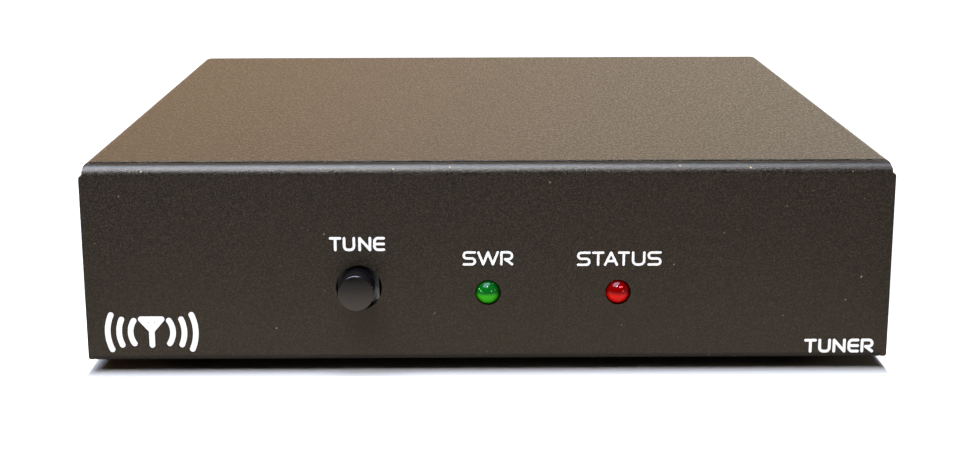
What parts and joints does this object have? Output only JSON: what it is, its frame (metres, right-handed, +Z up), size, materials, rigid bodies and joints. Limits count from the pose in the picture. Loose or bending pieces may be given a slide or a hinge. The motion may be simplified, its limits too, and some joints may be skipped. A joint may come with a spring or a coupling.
{
  "type": "antenna tuner",
  "caption": "Low desktop automatic antenna tuner in a folded black metal case, with a tune button and two indicator lamps in front, and coaxial sockets, jacks and a ground post behind.",
  "frame": {"origin": "on the table, midway between the front of the button and the rims of the rear sockets, and midway between the sides", "axes": "+X to the right seen from the front, +Y towards the rear panel, +Z up"},
  "size_m": [0.155, 0.1818, 0.0413],
  "materials": {
    "front_coat": "fine-grained black powder coat, satin",
    "cover_coat": "fine-grained black powder coat, satin",
    "black_screw": "black oxide",
    "zinc_steel": "bright zinc plate",
    "nickel_plate": "bright nickel plate",
    "brass": "turned brass",
    "silver_contact": "silver plate",
    "tinned_wire": "tinned copper",
    "enamel_wire": "enamelled copper, glossy",
    "foot_rubber": "matte black rubber",
    "button_plastic": "black moulded plastic, satin",
    "switch_plastic": "light grey moulded plastic",
    "plunger_plastic": "black moulded plastic",
    "spring_steel": "drawn spring wire",
    "green_epoxy": "green tinted clear epoxy, lit",
    "red_epoxy": "red tinted clear epoxy, lit",
    "holder_plastic": "black nylon",
    "socket_insulator": "white PTFE",
    "jack_plastic": "black moulded plastic",
    "board_laminate": "green solder mask over glass laminate",
    "relay_case": "blue moulded plastic",
    "ring_core": "painted iron-powder core",
    "disc_coat": "dipped epoxy",
    "chip_package": "moulded chip package",
    "crystal_can": "pressed metal can",
    "capacitor_sleeve": "shrink sleeve",
    "resistor_body": "ceramic with overglaze"
  },
  "bodies": {
    "root": {"chassis": "front_coat", "top_cover": "cover_coat", "cover_screws": "black_screw", "cover_clinch_nuts": "zinc_steel", "rubber_feet": "foot_rubber", "board_standoffs": "nickel_plate", "board_screws": "zinc_steel", "tune_switch_body": "switch_plastic", "tune_switch_spring": "spring_steel", "tune_switch_terminals": "tinned_wire", "swr_led": "green_epoxy", "status_led": "red_epoxy", "led_leads": "tinned_wire", "led_holders": "holder_plastic", "rig_socket_shell": "nickel_plate", "rig_socket_insulator": "socket_insulator", "rig_socket_contact": "silver_contact", "antenna_socket_shell": "nickel_plate", "antenna_socket_insulator": "socket_insulator", "antenna_socket_contact": "silver_contact", "socket_screws": "zinc_steel", "socket_nuts": "zinc_steel", "dc_jack_body": "jack_plastic", "dc_jack_pin": "silver_contact", "dc_jack_spring_contact": "silver_contact", "radio_jack_body": "jack_plastic", "radio_jack_nut": "nickel_plate", "radio_jack_contacts": "silver_contact", "ground_stud": "brass", "ground_lock_washer": "zinc_steel", "ground_stud_nut": "brass", "ground_solder_lug": "tinned_wire", "socket_wires": "tinned_wire", "inductor_relays": "relay_case", "capacitor_relays": "relay_case", "high_low_relay": "relay_case", "relay_pins": "tinned_wire", "toroid_cores": "ring_core", "toroid_windings": "enamel_wire", "coupler_cores": "ring_core", "coupler_windings": "enamel_wire", "air_coils": "enamel_wire", "tuning_capacitors": "disc_coat", "capacitor_leads": "tinned_wire", "microcontroller": "chip_package", "microcontroller_legs": "tinned_wire", "relay_driver_chips": "chip_package", "driver_legs": "tinned_wire", "clock_crystal": "crystal_can", "voltage_regulator": "chip_package", "filter_capacitors": "capacitor_sleeve", "chip_resistors": "resistor_body", "circuit_board": "board_laminate"},
    "tune_button": {"tune_button_cap": "button_plastic", "tune_switch_plunger": "plunger_plastic"},
    "stud_washer": {"ground_flat_washer": "brass"},
    "wing_nut": {"ground_wing_nut": "brass"}
  },
  "joints": [
    {"name": "tune_button_press", "type": "slide", "parent": "root", "child": "tune_button", "axis": [0, 1, 0], "range_m": [0, 0.0015], "stiffness_N_per_m": 900, "springref_m": -0.001, "deforming": ["tune_switch_spring"]},
    {"name": "stud_washer_slide", "type": "slide", "parent": "root", "child": "stud_washer", "axis": [0, 1, 0], "range_m": [0, 0.00397]},
    {"name": "wing_nut_turn", "type": "hinge", "parent": "stud_washer", "child": "wing_nut", "pos_m": [0.025, 0.0823, 0.0219], "axis": [0, 1, 0], "range_deg": [0, 1800]}
  ],
  "couplings": [
    {"joint": "wing_nut_turn", "follows": "stud_washer_slide", "rad_per_m": 7915.8}
  ]
}
